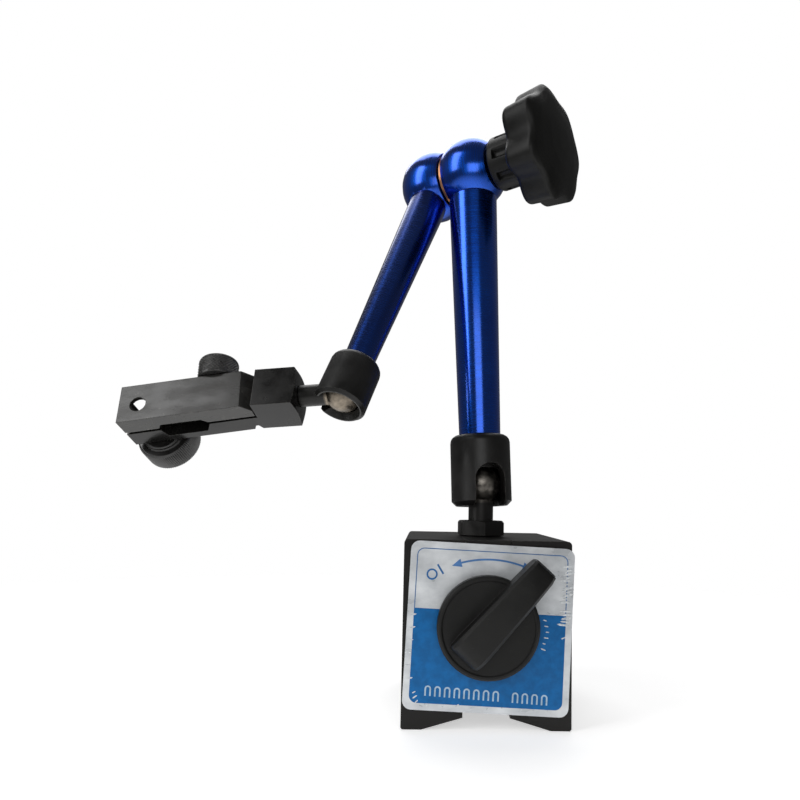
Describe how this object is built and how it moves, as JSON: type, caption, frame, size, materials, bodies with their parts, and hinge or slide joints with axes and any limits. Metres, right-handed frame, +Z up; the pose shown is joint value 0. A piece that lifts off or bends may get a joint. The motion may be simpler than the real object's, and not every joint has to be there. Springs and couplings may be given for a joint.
{
  "type": "magnetic stand for a dial indicator",
  "caption": "Switchable magnetic base with two blue arms, ball joints at both ends, an elbow locked by a star knob, and a finely adjusted clamp head for a dial indicator.",
  "frame": {"origin": "middle of the left foot's flat face, on the surface the base stands on", "axes": "+X to the right of the label, +Y from the label to the back of the base, +Z up"},
  "size_m": [0.1455, 0.071, 0.2058],
  "materials": {
    "black_paint": "semi-gloss black paint, faintly brown",
    "dark_alloy": "non-magnetic alloy, painted black with the base",
    "label_silver": "thin silver sheet with a printed blue field",
    "black_plastic": "moulded black plastic, fine grain",
    "black_oxide": "blackened steel, satin",
    "dark_steel": "dark turned steel, oiled",
    "bright_steel": "bare turned steel",
    "steel": "plain steel, hidden inside",
    "ferrite": "sintered magnet, dull grey",
    "brass": "turned brass",
    "copper": "copper-coloured washer",
    "blue_anodised": "bright blue anodised, glossy"
  },
  "bodies": {
    "base": {"pole_left": "black_paint", "pole_right": "black_paint", "separator_upper": "dark_alloy", "separator_lower": "dark_alloy", "label_plate": "label_silver", "front_bush": "brass", "rear_cover": "dark_alloy"},
    "switch": {"switch_knob": "black_plastic", "switch_spindle": "steel", "rotor_magnet": "ferrite", "rotor_shoe_left": "steel", "rotor_shoe_right": "steel"},
    "stud": {"ball_stud_lower": "dark_steel"},
    "lower_arm": {"lower_sleeve": "black_oxide", "lower_ball_seat": "steel", "lower_push_rod": "steel", "lower_tube": "blue_anodised", "lower_hub": "blue_anodised", "thrust_washer": "black_oxide"},
    "upper_arm": {"upper_hub": "blue_anodised", "upper_tube": "blue_anodised", "upper_push_rod": "steel", "upper_ball_seat": "steel", "upper_sleeve": "black_oxide", "draw_bolt": "steel", "friction_washer": "copper"},
    "knob": {"star_knob": "black_plastic", "knob_insert": "brass"},
    "end_stud": {"ball_stud_upper": "bright_steel"},
    "head": {"swivel_block": "black_oxide", "return_spring": "bright_steel"},
    "bar": {"clamp_bar": "black_oxide"},
    "adjuster": {"thumbscrew": "black_oxide"},
    "pivot": {"pivot_screw": "black_oxide"}
  },
  "joints": [
    {"name": "switch_turn", "type": "hinge", "parent": "base", "child": "switch", "pos_m": [0.022, -0.03, 0.03], "axis": [0, -1, 0], "range_deg": [0, 90]},
    {"name": "arm_swivel", "type": "hinge", "parent": "base", "child": "stud", "pos_m": [0.022, 0, 0.0722], "axis": [0, 0, 1], "continuous": true},
    {"name": "arm_tilt", "type": "hinge", "parent": "stud", "child": "lower_arm", "pos_m": [0.022, 0, 0.0722], "axis": [0.961, 0.2757, 0.0225], "range_deg": [-5, 60]},
    {"name": "elbow", "type": "hinge", "parent": "lower_arm", "child": "upper_arm", "pos_m": [0.01771, 0.00578, 0.18447], "axis": [0.8075, -0.5867, 0.061], "range_deg": [-150, 18]},
    {"name": "knob_turn", "type": "hinge", "parent": "upper_arm", "child": "knob", "pos_m": [0.0354, -0.00707, 0.18581], "axis": [0.8075, -0.5867, 0.061], "range_deg": [-30, 330]},
    {"name": "head_swing", "type": "hinge", "parent": "upper_arm", "child": "end_stud", "pos_m": [-0.02191, -0.03046, 0.09814], "axis": [0.1374, 0.855, -0.5001], "range_deg": [-75, 0]},
    {"name": "head_spin", "type": "hinge", "parent": "end_stud", "child": "head", "pos_m": [-0.02191, -0.03046, 0.09814], "axis": [-0.9905, 0.1164, -0.0732], "continuous": true},
    {"name": "adjuster_turn", "type": "hinge", "parent": "head", "child": "adjuster", "pos_m": [-0.08029, -0.02569, 0.08945], "axis": [-0.1366, -0.8935, 0.4278], "range_deg": [-180, 540]},
    {"name": "bar_swing", "type": "hinge", "parent": "head", "child": "bar", "pos_m": [-0.06072, -0.02844, 0.09558], "axis": [-0.0899, 0.4412, 0.8929], "range_deg": [-1.2, 3.4]},
    {"name": "pivot_turn", "type": "hinge", "parent": "head", "child": "pivot", "pos_m": [-0.06072, -0.02844, 0.09558], "axis": [-0.0899, 0.4412, 0.8929], "range_deg": [0, 270]}
  ],
  "couplings": [
    {"joint": "bar_swing", "follows": "adjuster_turn", "ratio": 0.006241}
  ]
}
